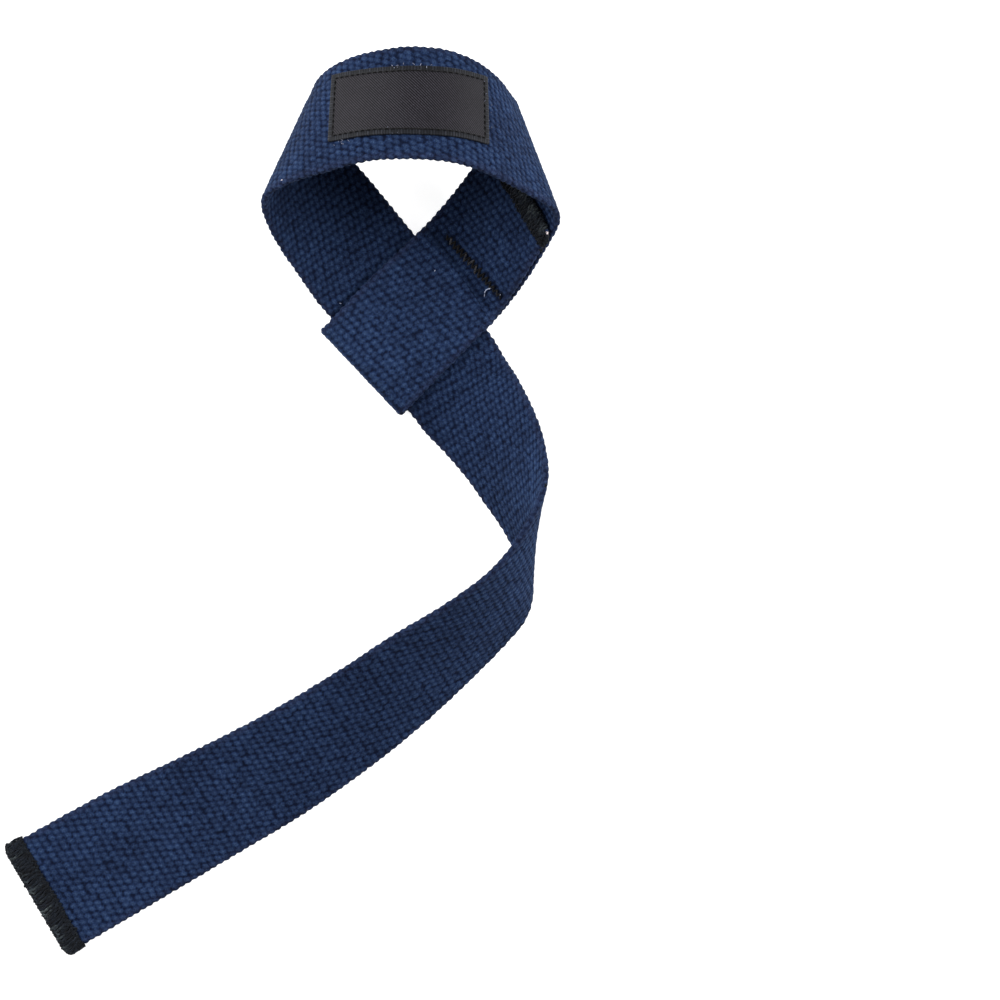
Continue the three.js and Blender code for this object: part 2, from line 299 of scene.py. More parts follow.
def close_up(piece):
    """Sews the grid's long sides together, fills its ends and shades it smooth."""
    bpy.ops.object.select_all(action="DESELECT")
    piece.select_set(True)
    bpy.context.view_layer.objects.active = piece
    bpy.ops.object.mode_set(mode="EDIT")
    bpy.ops.mesh.select_all(action="SELECT")
    bpy.ops.mesh.remove_doubles(threshold=MERGE_REACH * METRES_PER_MM)
    bpy.ops.mesh.select_all(action="DESELECT")
    bpy.ops.mesh.select_non_manifold()
    bpy.ops.mesh.mark_sharp()
    bpy.ops.mesh.select_all(action="SELECT")
    bpy.ops.mesh.fill_holes(sides=0)
    bpy.ops.mesh.normals_make_consistent(inside=False)
    bpy.ops.object.mode_set(mode="OBJECT")
    bpy.ops.object.shade_smooth()


def keep_value(piece, name, values):
    """Stores a number for every point, which the material reads."""
    attribute = piece.data.attributes.new(name, "FLOAT", "POINT")
    attribute.data.foreach_set("value", values.astype(np.float32))


def finish_piece(piece, material, slot, *nodes):
    piece.data.materials.clear()
    piece.data.materials.append(material)
    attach(piece, "root")
    if nodes:
        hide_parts(*nodes)


def join_pieces(name, pieces):
    bpy.ops.object.select_all(action="DESELECT")
    for piece in pieces:
        piece.select_set(True)
    bpy.context.view_layer.objects.active = pieces[0]
    bpy.ops.object.join()
    pieces[0].name = name
    return pieces[0]


def thread(name, path, facing, half_width, half_height, strand):
    """A closed thread along a path, with its wide side facing the given directions. The material
    reads strand, from 0 for the darkest colour to 1 for the palest, which on the black overlock
    thread is painted highlight."""
    piece, along, around = flat_grid(name, len(path) - 1, THREAD_SIDES)
    step = np.rint(along * (len(path) - 1)).astype(int)
    heading = unit(np.gradient(path, axis=0))
    facing = unit(facing - heading * np.sum(facing * heading, axis=1)[:, None])
    broad = np.cross(heading, facing)
    taper = np.ones(len(path))
    taper[[0, -1]] = THREAD_END_TAPER
    angle = 2 * math.pi * around
    width = half_width * taper[step]
    height = half_height * taper[step]
    points = path[step] + broad[step] * (np.cos(angle) * width)[:, None]
    points = points + facing[step] * (np.sin(angle) * height)[:, None]
    shape_to(piece, points)
    keep_value(piece, "strand", np.broadcast_to(strand, len(path))[step])
    close_up(piece)
    return piece


# Weave

def perimeter_of(width, inset):
    """Length round a flat section with round edges of that radius."""
    return 2 * (math.pi * inset + width - 2 * inset)


PERIMETER = perimeter_of(WEB_WIDTH, EDGE_INSET)


def section_place(around, width, inset):
    """For a length round a flat section from the middle of its low edge, over the inner face
    first: the place across of the nearest core point, and the direction off it as shares
    sideways and towards the inner face."""
    face, half_arc = width - 2 * inset, math.pi * inset / 2
    on_inner = np.clip(around - half_arc, 0, face)
    on_outer = np.clip(around - 3 * half_arc - face, 0, face)
    bent = np.clip(around, 0, half_arc) + np.clip(around - half_arc - face, 0, 2 * half_arc)
    bent = bent + np.clip(around - 3 * half_arc - 2 * face, 0, half_arc)
    angle = math.pi - bent / inset
    return inset + on_inner - on_outer, np.cos(angle), np.sin(angle)


grain_rise = seeded.uniform(GRAIN_LOWEST, 1.0, (RANDOM_ROWS, GRAINS_AROUND))
grain_lean = seeded.normal(0.0, GRAIN_LEAN_SPREAD, (RANDOM_ROWS, GRAINS_AROUND))
grain_shift = seeded.normal(0.0, GRAIN_SHIFT_SPREAD, (RANDOM_ROWS, GRAINS_AROUND, 2))


def weave_rise(distance, around):
    """Height of the weave from 0 in the pits to 1 on a grain, and a random number per grain."""
    pitch = PERIMETER / GRAINS_AROUND
    best = np.zeros_like(distance)
    tone = np.zeros_like(distance)
    row_near = np.rint(distance / PICK_LENGTH).astype(int)
    for row_step in (-1, 0, 1):
        row = row_near + row_step
        half = 0.5 * (row % 2)
        near = np.rint(around / pitch - half).astype(int)
        for column_step in (-1, 0, 1):
            column = near + column_step
            key = (row % RANDOM_ROWS, column % GRAINS_AROUND)
            du = distance - row * PICK_LENGTH - grain_shift[key][:, 0]
            dv = around - (column + half) * pitch - grain_shift[key][:, 1]
            lean = GRAIN_LEAN + grain_lean[key]
            long_way = (du * np.cos(lean) + dv * np.sin(lean)) / GRAIN_LONG
            short_way = (dv * np.cos(lean) - du * np.sin(lean)) / GRAIN_SHORT
            inside = np.clip(1 - long_way ** 2 - short_way ** 2, 0, 1)
            rise = np.sqrt(inside) * grain_rise[key]
            better = rise > best
            best = np.where(better, rise, best)
            tone = np.where(better, grain_rise[key], tone)
    return best, tone


def seam_line(across):
    """Distance of the slanting row of stitches at a place across."""
    return SEAM_PLACE - SEAM_SLANT * (1 - (across - SEAM_FROM_EDGE_A) / SEAM_LENGTH)


def near_seam(distance, across):
    """1 on the row of stitches that closes the sleeve and 0 away from it."""
    off_row = np.abs(distance - seam_line(across))
    off_ends = np.abs(across - SEAM_FROM_EDGE_A - SEAM_LENGTH / 2) - SEAM_LENGTH / 2
    on_row = smooth_step((SEAM_PRESS_REACH - off_row) / SEAM_PRESS_FADE)
    return on_row * smooth_step((SEAM_END_FADE - off_ends) / SEAM_END_FADE)


def lay_webbing(name, start, stop):
    """A closed run of webbing with its weave in relief, pressed thinner at the wrapped ends."""
    rows = int(round((stop - start) / (PICK_LENGTH / ROWS_PER_PICK)))
    piece, along, round_share = flat_grid(name, rows, GRAINS_AROUND * COLUMNS_PER_GRAIN)
    distance = start + (stop - start) * along
    around = PERIMETER * round_share
    rise, tone = weave_rise(distance, np.mod(around, PERIMETER))
    across, off_side, off_face = section_place(around, WEB_WIDTH, EDGE_INSET)
    from_end = np.minimum(distance - STRAP_START, WEB_LENGTH - distance)
    pressed = 1 - smooth_step((from_end - PRESSED_LENGTH) / PRESSED_FADE)
    sewn = near_seam(distance, across)
    bead = EDGE_BEAD * off_side ** 2 * np.cos(2 * math.pi * distance / PICK_LENGTH)
    woven = CORE_HALF + GRAIN_RISE * rise + bead - SEAM_PRESS * sewn
    radius = woven * (1 - pressed) + PRESSED_HALF * pressed
    middle, inner, sideways = strap_frame(distance, across / WEB_WIDTH)
    points = middle + sideways * (off_side * radius)[:, None] + inner * (off_face * radius)[:, None]
    shape_to(piece, points)
    # The material paints shade in the pits and light on the grains' tops from this height.
    keep_value(piece, "raised", rise / np.maximum(tone, 0.5))
    keep_value(piece, "tone", tone)
    keep_value(piece, "sewn", sewn)
    to_edge = np.minimum(across, WEB_WIDTH - across)
    keep_value(piece, "selvedge", 1 - smooth_step((to_edge - EDGE_INSET) / SELVEDGE_FADE))
    close_up(piece)
    return piece


# Materials

FIBRE_SHARE = 0.8
PATCH_SHARE = 0.2
# The webbing's colours by weave height: painted shade in the pits and on the grains' sides, painted
# light on their tops.
NAVY_PIT_PAINTED_SHADE = (0.0022, 0.0062, 0.0225)
NAVY_SIDE_PAINTED_SHADE = (0.0063, 0.0148, 0.0445)
NAVY_GRAIN = (0.0114, 0.0238, 0.063)
NAVY_TOP_PAINTED_LIGHT = (0.0166, 0.0328, 0.0755)
SELVEDGE_TINT = (0.0145, 0.0165, 0.0385, 1.0)


def new_material(name):
    material = bpy.data.materials.new(name)
    material.use_nodes = True
    tree = material.node_tree
    return material, tree, tree.nodes["Principled BSDF"]


def add_node(tree, kind, **settings):
    node = tree.nodes.new(kind)
    for key, value in settings.items():
        if key in node.inputs:
            node.inputs[key].default_value = value
        else:
            setattr(node, key, value)
    return node


def mix_colour(tree, factor, low, high, blend="MIX"):
    """A colour mix whose ends are sockets or plain colours."""
    node = tree.nodes.new("ShaderNodeMix")
    node.data_type = "RGBA"
    node.blend_type = blend
    for socket, value in ((node.inputs[0], factor), (node.inputs[6], low), (node.inputs[7], high)):
        if isinstance(value, bpy.types.NodeSocket):
            tree.links.new(value, socket)
        else:
            socket.default_value = value
    return node.outputs[2]


def ramp(tree, value, stops):
    """A smooth map from a value to greys or colours."""
    node = tree.nodes.new("ShaderNodeValToRGB")
    tree.links.new(value, node.inputs[0])
    elements = node.color_ramp.elements
    while len(elements) < len(stops):
        elements.new(0.5)
    for element, (place, colour) in zip(elements, stops):
        element.position = place
        element.color = colour if len(colour) == 4 else (*colour, 1.0)
    return node.outputs[0]


def read_value(tree, name):
    node = tree.nodes.new("ShaderNodeAttribute")
    node.attribute_name = name
    return node.outputs["Fac"]


def cotton_fuzz_group():
    """Fine fibres: a grey shade for the colour and a height for the bump."""
    group = bpy.data.node_groups.new("cotton fuzz", "ShaderNodeTree")
    group.interface.new_socket("Fibre Size", in_out="INPUT", socket_type="NodeSocketFloat")
    group.interface.new_socket("Patch Size", in_out="INPUT", socket_type="NodeSocketFloat")
    group.interface.new_socket("Shade", in_out="OUTPUT", socket_type="NodeSocketFloat")
    group.interface.new_socket("Height", in_out="OUTPUT", socket_type="NodeSocketFloat")
    given = group.nodes.new("NodeGroupInput")
    result = group.nodes.new("NodeGroupOutput")
    place = group.nodes.new("ShaderNodeTexCoord")
    fibres = add_node(group, "ShaderNodeTexNoise", Detail=4.0, Roughness=0.7)
    patches = add_node(group, "ShaderNodeTexNoise", Detail=2.0, Roughness=0.5)
    blend = add_node(group, "ShaderNodeMath", operation="MULTIPLY_ADD")
    blend.inputs[1].default_value = FIBRE_SHARE
    for node, size in ((fibres, "Fibre Size"), (patches, "Patch Size")):
        group.links.new(place.outputs["Object"], node.inputs["Vector"])
        group.links.new(given.outputs[size], node.inputs["Scale"])
    faint = add_node(group, "ShaderNodeMath", operation="MULTIPLY")
    faint.inputs[1].default_value = PATCH_SHARE
    group.links.new(patches.outputs[0], faint.inputs[0])
    group.links.new(fibres.outputs[0], blend.inputs[0])
    group.links.new(faint.outputs[0], blend.inputs[2])
    group.links.new(blend.outputs[0], result.inputs["Shade"])
    group.links.new(fibres.outputs[0], result.inputs["Height"])
    return group


cotton_fuzz = cotton_fuzz_group()


def fuzz_in(tree, fibre_size, patch_size):
    node = tree.nodes.new("ShaderNodeGroup")
    node.node_tree = cotton_fuzz
    node.inputs["Fibre Size"].default_value = fibre_size
    node.inputs["Patch Size"].default_value = patch_size
    return node.outputs["Shade"], node.outputs["Height"]


def add_bump(tree, shader, height, strength, distance_mm):
    bump = add_node(tree, "ShaderNodeBump", Strength=strength, Distance=distance_mm * METRES_PER_MM)
    tree.links.new(height, bump.inputs["Height"])
    tree.links.new(bump.outputs[0], shader.inputs["Normal"])


def navy_webbing():
    """Navy cotton yarn with painted shade in the pits and painted light on the grains, a little
    purple at the selvedge.
    """
    material, tree, shader = new_material("navy cotton webbing")
    shade, fibres = fuzz_in(tree, fibre_size=1900.0, patch_size=60.0)
    # Painted shade in the weave's pits, painted light on the grains' tops.
    weave_painted_shade = ramp(tree, read_value(tree, "raised"), [
        (0.3, NAVY_PIT_PAINTED_SHADE), (0.66, NAVY_SIDE_PAINTED_SHADE), (0.86, NAVY_GRAIN), (1.0, NAVY_TOP_PAINTED_LIGHT)])
    purple = mix_colour(tree, 0.3, weave_painted_shade, SELVEDGE_TINT)
    edged = mix_colour(tree, read_value(tree, "selvedge"), weave_painted_shade, purple)
    light = ramp(tree, shade, [(0.37, (0.35, 0.38, 0.44)), (0.64, (1.6, 1.54, 1.46))])
    colour = mix_colour(tree, 1.0, edged, light, "MULTIPLY")
    per_grain = ramp(tree, read_value(tree, "tone"), [
        (GRAIN_LOWEST, (0.8, 0.8, 0.82)), (1.0, (1.16, 1.16, 1.14))])
    colour = mix_colour(tree, 1.0, colour, per_grain, "MULTIPLY")
    thread_shadow = ramp(tree, read_value(tree, "sewn"), [(0.0, (1, 1, 1)), (1.0, (0.45, 0.47, 0.5))])
    colour = mix_colour(tree, 1.0, colour, thread_shadow, "MULTIPLY")
    tree.links.new(colour, shader.inputs["Base Color"])
    shader.inputs["Roughness"].default_value = 0.92
    shader.inputs["Specular IOR Level"].default_value = 0.08
    shader.inputs["Sheen Weight"].default_value = 0.06
    shader.inputs["Sheen Roughness"].default_value = 0.4
    shader.inputs["Sheen Tint"].default_value = (0.35, 0.5, 0.8, 1.0)
    add_bump(tree, shader, fibres, strength=0.9, distance_mm=0.16)
    return material


def spun_thread(name, dark, middling, pale):
    """Spun thread whose colour goes by its strand value, with finer flecks along it."""
    material, tree, shader = new_material(name)
    shade, fibres = fuzz_in(tree, fibre_size=2200.0, patch_size=300.0)
    by_strand = ramp(tree, read_value(tree, "strand"), [(0.0, dark), (0.5, middling), (1.0, pale)])
    flecks = ramp(tree, shade, [(0.4, (0.2, 0.2, 0.22)), (0.62, (2.0, 1.95, 1.9))])
    colour = mix_colour(tree, 1.0, by_strand, flecks, "MULTIPLY")
    tree.links.new(colour, shader.inputs["Base Color"])
    shader.inputs["Roughness"].default_value = 0.8
    shader.inputs["Specular IOR Level"].default_value = 0.12
    shader.inputs["Sheen Weight"].default_value = 0.05
    shader.inputs["Sheen Roughness"].default_value = 0.4
    add_bump(tree, shader, fibres, strength=0.9, distance_mm=0.12)
    return material


webbing_look = navy_webbing()
# The overlock's pale colour is painted highlight on the black thread.
overlock_look = spun_thread(
    "black overlock thread", (0.0015, 0.002, 0.0035), (0.005, 0.0075, 0.012), (0.042, 0.053, 0.056))
stitch_look = spun_thread(
    "black sewing thread", (0.0015, 0.0015, 0.002), (0.005, 0.005, 0.006), (0.06, 0.062, 0.07))
stray_look = spun_thread(
    "pale stray thread", (0.1, 0.11, 0.15), (0.3, 0.34, 0.46), (0.75, 0.62, 0.56))


# Webbing

# The long webbing is made in five runs, which meet on a grain's middle: under the sleeve's front
# layer, under the label, inside the sleeve and halfway down the tail
UNDER_SLEEVE_CUT = 14 * PICK_LENGTH
LABEL_CUT = 62 * PICK_LENGTH
SLEEVE_CUT = 112 * PICK_LENGTH
TAIL_CUT = 173 * PICK_LENGTH
RUNS = [
    # name, start, stop, held
    ("webbing_sleeve", STRAP_START, UNDER_SLEEVE_CUT, "folded"),
    ("webbing_loop_right", UNDER_SLEEVE_CUT, LABEL_CUT, "folded"),
    ("webbing_loop_left", LABEL_CUT, SLEEVE_CUT, "folded"),
    ("webbing_tail_upper", SLEEVE_CUT, TAIL_CUT, "laid"),
    ("webbing_tail_lower", TAIL_CUT, WEB_LENGTH, "laid"),
]
for run_name, run_start, run_stop, held in RUNS:
    run = lay_webbing(run_name, run_start, run_stop)
    finish_piece(run, webbing_look, "webbing", "webbing")


# Thread wrapped round the cut ends

BAND_DEPTH = 5.4
BAND_HALF = 0.8
UNDERSIDE_LIFT = 0.84
EDGE_REACH = 0.6
RAGGED_KNOTS = 28
TIP_REACH = 1.35
TIP_WAVE = 0.2
TIP_WAVE_PITCH = 2.7
BORDER_WAVE = 0.45
BORDER_WAVE_PITCH = 1.5
BORDER_LIFT = 1.02
BORDER_INSETS = (0.2, 0.9)
CORNER_BULGE = 0.9
EDGE_OVERRUN = 0.4
BED_STEPS_ALONG = 24
BED_STEPS_AROUND = 120
POINTS_PER_PASS = 7
DEPTH_SPREAD = 0.25
RISE_SPREAD = 0.06
SHINE_SPREAD = 0.17
SHADE_SPREAD = 0.1
WRAP_HALF_HEIGHT = 0.24
BORDER_HALF_WIDTH = 0.3
BORDER_HALF_HEIGHT = 0.2
BORDER_STEP = 0.3
WRAPS = [
    # pitch, slant, lift, half width
    (1.0, 1.0, 1.04, 0.4),
    (1.5, -1.5, 0.98, 0.34),
    (2.3, 2.2, 1.12, 0.3),
]


def fall_back(past, across, corners):
    """Pulls places on a wrapped end back at its rounded corners, by edge A and then by edge B."""
    drop_here = 0.0
    for to_edge, (length, drop) in zip((across, WEB_WIDTH - across), corners):
        part = np.clip(1 - to_edge / length, 0, 0.98)
        drop_here = drop_here + drop * (1 - np.sqrt(1 - part ** 2))
    return past - drop_here * smooth_step((past + BAND_DEPTH) / BAND_DEPTH)


def end_frame(end, outward, past, across):
    """As strap_frame, for places measured from an end of the webbing, past it where positive."""
    past, across = np.broadcast_arrays(np.asarray(past, float), np.asarray(across, float))
    on_web = end + outward * np.minimum(past, 0)
    middle, inner, sideways = strap_frame(on_web, across / WEB_WIDTH)
    last, _, _ = strap_frame([end], [0.5])
    before, _, _ = strap_frame([end - outward], [0.5])
    heading = unit(last - before)
    return middle + heading * np.maximum(past, 0)[:, None], inner, sideways, heading


def edge_round(across):
    """How much of its height a thread keeps as the band rounds over the webbing's edges."""
    past_core = EDGE_INSET - np.minimum(across, WEB_WIDTH - across)
    part = np.clip(past_core / (EDGE_INSET + EDGE_REACH), 0, 0.95)
    return np.sqrt(1 - part ** 2)


def ragged(across, spread):
    """A random shift that drifts along the band."""
    knots = np.linspace(0, WEB_WIDTH, RAGGED_KNOTS)
    return np.interp(across, knots, seeded.normal(0, spread, RAGGED_KNOTS))


def overlock_band(name, end, outward, corners):
    """The dense bed of thread under the wraps, closed over the webbing's end."""
    piece, along, round_share = flat_grid(name, BED_STEPS_ALONG, BED_STEPS_AROUND)
    past = -BAND_DEPTH + (BAND_DEPTH + TIP_REACH) * along
    around = perimeter_of(WEB_WIDTH, EDGE_INSET) * round_share
    across, off_side, off_face = section_place(around, WEB_WIDTH, EDGE_INSET)
    closing = np.sqrt(np.clip(1 - (np.maximum(past, 0) / TIP_REACH) ** 2, 0.02, 1))
    opening = smooth_step((past + BAND_DEPTH) / 0.8) * 0.35 + 0.65
    corner = CORNER_BULGE * smooth_step((past + BAND_DEPTH - 0.8) / 2.5)
    radius = (BAND_HALF + corner * off_side ** 2) * closing * opening
    past = past + ragged(across, DEPTH_SPREAD) * (1 - smooth_step((past + BAND_DEPTH) / 2.0))
    past = fall_back(past, across, corners)
    middle, inner, sideways, _ = end_frame(end, outward, past, across)
    points = middle + sideways * (off_side * radius)[:, None] + inner * (off_face * radius)[:, None]
    shape_to(piece, points)
    # Paler towards the tip as painted highlight, darker towards the border.
    keep_value(piece, "strand", np.clip(0.35 + past / 12, 0, 1))
    close_up(piece)
    return piece


def wrap_path(end, outward, corners, wander, pitch, slant, lift):
    """One long thread that goes over the end and back under it again and again, with the side that it
    faces and its strand values: paler round the tip as painted highlight, darker towards the border."""
    past, across, height, strand = [], [], [], []
    at = -0.5
    while at < WEB_WIDTH + 0.5:
        depth = BAND_DEPTH + seeded.normal(0, DEPTH_SPREAD)
        rise = lift + seeded.normal(0, RISE_SPREAD)
        reach = rise + 0.1 + TIP_WAVE * (0.5 + 0.5 * math.cos(2 * math.pi * at / TIP_WAVE_PITCH))
        # How much painted highlight this pass of the thread gets.
        shine = 0.5 + seeded.normal(0, SHINE_SPREAD)
        for sign, first, last in ((1.0, 0, 1), (-1.0, 1, 0)):
            for share in np.linspace(first, last, POINTS_PER_PASS):
                past.append(-depth * (1 - share))
                across.append(at - sign * slant * (1 - share))
                side_rise = min(rise, UNDERSIDE_LIFT) if sign > 0 else rise
                height.append(sign * side_rise * min(1.0, 0.45 + 2.2 * share))
                strand.append(shine * (0.2 + 0.8 * share ** 0.7))
            if sign > 0:
                for turn in np.linspace(0, math.pi, POINTS_PER_PASS)[1:-1]:
                    past.append(reach * math.sin(turn))
                    across.append(at + 0.15 * slant * turn)
                    side_rise = min(rise, UNDERSIDE_LIFT) if turn < math.pi / 2 else rise
                    height.append(side_rise * math.cos(turn))
                    strand.append(shine)
        at += pitch * seeded.uniform(0.7, 1.3)
    past, height = np.array(past), np.array(height)
    across = np.clip(np.array(across), -EDGE_OVERRUN, WEB_WIDTH + EDGE_OVERRUN)
    height = height * edge_round(across)
    past = fall_back(past, across, corners)
    middle, inner, _, heading = end_frame(end, outward, past, across)
    facing = inner * np.sign(height + 1e-6)[:, None] + heading * np.maximum(past, 0)[:, None]
    path = middle + inner * height[:, None] + seeded.normal(0, wander, middle.shape)
    return path, facing, np.clip(strand + seeded.normal(0, SHADE_SPREAD, len(strand)), 0, 1)


def border_path(end, outward, wander, depth, sign, height):
    """A thread along the band, looping a little in and out."""
    across = np.arange(-EDGE_OVERRUN, WEB_WIDTH + EDGE_OVERRUN, BORDER_STEP)
    phase = across * 2 * math.pi / BORDER_WAVE_PITCH
    looping = BORDER_WAVE * (1 + ragged(across, 0.4))
    past = ragged(across, DEPTH_SPREAD) - depth + looping * np.sin(phase)
    past = past + seeded.normal(0, RISE_SPREAD + wander, len(past))
    lift = height + 0.12 * np.cos(phase)
    lift = lift * edge_round(across)
    middle, inner, _, _ = end_frame(end, outward, past, across)
    path = middle + inner * (sign * lift)[:, None] + seeded.normal(0, wander, middle.shape)
    return path, inner * sign


def wrap_end(name, end, outward, corners, wander, node):
    """Overlock: a bed of thread, slanting wraps over it, and a chain along each border."""
    parts = [overlock_band(name + "_bed", end, outward, corners)]
    for pitch, slant, lift, half_width in WRAPS:
        path, facing, strand = wrap_path(end, outward, corners, wander, pitch, slant, lift)
        parts.append(
            thread(name + "_wrap", path, facing, half_width, WRAP_HALF_HEIGHT, strand))
    for sign in (1.0, -1.0):
        for inset in BORDER_INSETS:
            height = UNDERSIDE_LIFT - 0.1 if sign > 0 else BORDER_LIFT
            path, facing = border_path(end, outward, wander, BAND_DEPTH - inset, sign, height)
            dashes = 0.1 + 0.55 * seeded.random(len(path)) ** 2
            parts.append(thread(
                name + "_border", path, facing, BORDER_HALF_WIDTH, BORDER_HALF_HEIGHT, dashes))
    piece = join_pieces(name, parts)
    finish_piece(piece, overlock_look, "thread", node)


# Each end's corners are the length and depth of the rounding by edge A and by edge B
wrap_end(
    "overlock_free_end", WEB_LENGTH, outward=1, corners=((3.0, 1.7), (3.0, 1.7)), wander=0.08,
    node="tail_end_overlock")
wrap_end(
    "overlock_sewn_end", STRAP_START, outward=-1, corners=((6.5, 4.2), (3.0, 1.7)), wander=0.14,
    node="sewn_end_overlock")


# Row of stitches that closes the sleeve

STROKE_PITCH = 0.9
STROKE_REACH = 1.5
STROKE_LIFT = 1.1
STROKE_BULGE = 0.12
STROKE_WANDER = 0.16
STROKE_HALF_WIDTH = 0.3
STROKE_HALF_HEIGHT = 0.18
POINTS_PER_STROKE = 6
strokes = int(SEAM_LENGTH / STROKE_PITCH)
stroke_across, stroke_distance, stroke_height, stroke_shade = [], [], [], []
for stroke in range(strokes):
    place = SEAM_FROM_EDGE_A + stroke * STROKE_PITCH
    half = STROKE_REACH * (0.45 + 0.55 * math.sin(math.pi * (stroke / strokes) ** 1.3))
    near = -half if stroke % 2 else half
    wander = seeded.normal(0, STROKE_WANDER, 2)
    for share in np.linspace(0, 1, POINTS_PER_STROKE + 1)[:-1]:
        stroke_across.append(place + share * STROKE_PITCH)
        stroke_distance.append(seam_line(place) + near * (1 - 2 * share) + wander[0])
        bulge = STROKE_BULGE * math.sin(math.pi * share)
        stroke_height.append(STROKE_LIFT + bulge + 0.3 * wander[1])
        stroke_shade.append(0.35 + 0.2 * wander[1] / STROKE_WANDER)
middle, inner, _ = strap_frame(stroke_distance, np.array(stroke_across) / WEB_WIDTH)
row_path = middle - inner * np.array(stroke_height)[:, None]
seam_row = thread(
    "sleeve_stitches", row_path, -inner, STROKE_HALF_WIDTH, STROKE_HALF_HEIGHT,
    np.clip(stroke_shade, 0, 0.85))
finish_piece(seam_row, stitch_look, "thread", "sleeve_seam")


# Stray bits of thread

POINTS_PER_STRAY = 13
FRAYED_HALF_WIDTHS = (0.07, 0.13)
FRAYED_REACH = 0.5
FRAYED_LIFT = 0.25


def stray(name, distances, acrosses, lifts, half_width, strand, look):
    """A short loose thread on the webbing, through a few places."""
    share = np.linspace(0, 1, POINTS_PER_STRAY)
    knots = np.linspace(0, 1, len(distances))
    distance, across, lift = (
        np.interp(share, knots, values) for values in (distances, acrosses, lifts))
    middle, inner, _ = strap_frame(distance, across / WEB_WIDTH)
    path = middle - inner * lift[:, None]
    softened = path.copy()
    softened[1:-1] = (path[:-2] + 2 * path[1:-1] + path[2:]) / 4
    piece = thread(name, softened, -inner, half_width, half_width, strand)
    finish_piece(piece, look, "thread")
    return piece


STRAYS = [
    # name, distances, places across, lifts, half width, strand, look. Lifts are from the middle
    # towards the outer face, so a bit with negative ones lies on the inner face.
    ("pale_thread_end", (-52.6, -54.2, -55.7, -57.0), (7.3, 8.0, 8.0, 7.1), (1.1, 1.6, 1.7, 1.2),
     0.16, 0.5, stray_look),
    ("pale_speck_high", (-43.8, -44.3), (25.0, 25.3), (1.2, 1.25), 0.13, 0.3, stray_look),
    ("pale_speck_low", (-58.2, -58.7), (3.0, 3.2), (1.2, 1.25), 0.14, 0.2, stray_look),
    ("pale_speck_end", (-89.0, -89.4, -89.7), (-0.3, -0.1, 0.1), (0.9, 1.1, 0.9),
     0.34, 0.8, stray_look),
    ("pale_speck_leg", (258.0, 258.5), (5.4, 5.7), (-1.25, -1.3), 0.14, 0.5, stray_look),
    ("pale_speck_band", (194.8, 195.3), (1.0, 1.1), (1.25, 1.3), 0.15, 0.7, stray_look),
    ("dark_tuft_sleeve", (-81.0, -81.6, -82.2), (0.4, -0.9, -0.3), (0.3, 0.4, 0.3),
     0.3, 0.3, overlock_look),
    ("dark_tuft_tail", (351.0, 351.6, 352.2), (37.8, 39.1, 38.4), (0.2, 0.3, 0.2),
     0.28, 0.3, overlock_look),
]
for stray_values in STRAYS:
    stray(*stray_values)


def frayed_bits(name, count, distance_range, across_range, lift, strand):
    """Tiny ends of thread scattered along a strip of the outer face."""
    bits = []
    for _ in range(count):
        distance = seeded.uniform(*distance_range)
        across = seeded.uniform(*across_range)
        ahead, aside = seeded.normal(0, FRAYED_REACH, 2)
        lifts = (lift, lift + abs(seeded.normal(0, FRAYED_LIFT)))
        half_width = seeded.uniform(*FRAYED_HALF_WIDTHS)
        bits.append(stray(
            "frayed_bit", (distance, distance + ahead), (across, across + aside), lifts,
            half_width, strand, stray_look))
    finish_piece(join_pieces(name, bits), stray_look, "thread")


# Woven label on the top band

LABEL_THICKNESS = 0.7
LABEL_LIFT = 1.48
LABEL_STEPS_ALONG = 264
LABEL_STEPS_AROUND = 228
TWILL_PITCH = 0.64
TWILL_RISE = 0.07
TWILL_SHEEN_REACH = 15.0
CAST_PITCH = 0.85
CAST_HEIGHTS = 64
CAST_RISE = 0.12
BORDER_RISE = 0.05
GROOVE_DEPTH = 0.12
GROOVE_REACH = 0.3
STITCH_INSET = 1.75
STITCH_PITCH = 1.9
STITCH_LIFT = 0.31
STITCH_WAVE = 0.3
STITCH_HALF_WIDTH = 0.26
STITCH_HALF_HEIGHT = 0.18
POINTS_PER_STITCH = 8
LABEL_DARK = (0.0015, 0.0015, 0.002)
LABEL_PALE = (0.032, 0.0295, 0.038)
BORDER_DARK = (0.004, 0.0045, 0.006)
BORDER_PALE = (0.02, 0.0215, 0.028)
LABEL_GROOVE_SHADE = (0.004, 0.004, 0.005, 1.0)
label_middle = LABEL_PAST_CROWN + 0.5 * (
    along_a[CROWN_LINE * SAMPLES_PER_LINE] + along_b[CROWN_LINE * SAMPLES_PER_LINE])
label_start = label_middle - LABEL_LENGTH / 2


def label_place(from_end, from_low):
    """Place on the webbing of a place on the label, from its right end and its low edge."""
    side = 2 * from_end / LABEL_LENGTH - 1
    share = from_low / LABEL_HEIGHT
    distance = label_start + from_end - LABEL_SLANT * (share - 0.5)
    low = LABEL_FROM_EDGE_A + LABEL_BOW * side ** 2
    height = LABEL_HEIGHT + LABEL_END_GAIN * side ** 2
    return distance, (low + height * share) / WEB_WIDTH


label_perimeter = perimeter_of(LABEL_HEIGHT, LABEL_THICKNESS / 2)
label, label_along, label_round = flat_grid(
    "woven_label", LABEL_STEPS_ALONG, LABEL_STEPS_AROUND)
label_distance = LABEL_LENGTH * (1 - label_along)
label_across, off_side, off_face = section_place(
    label_perimeter * label_round, LABEL_HEIGHT, LABEL_THICKNESS / 2)
to_side = np.minimum(label_across, LABEL_HEIGHT - label_across)
to_end = np.minimum(label_distance, LABEL_LENGTH - label_distance)
to_border = np.minimum(to_side, to_end)
field = smooth_step((to_border - STITCH_INSET) / GROOVE_REACH)
slantwise = (LABEL_LENGTH - label_distance) * 0.74 + label_across * 0.67
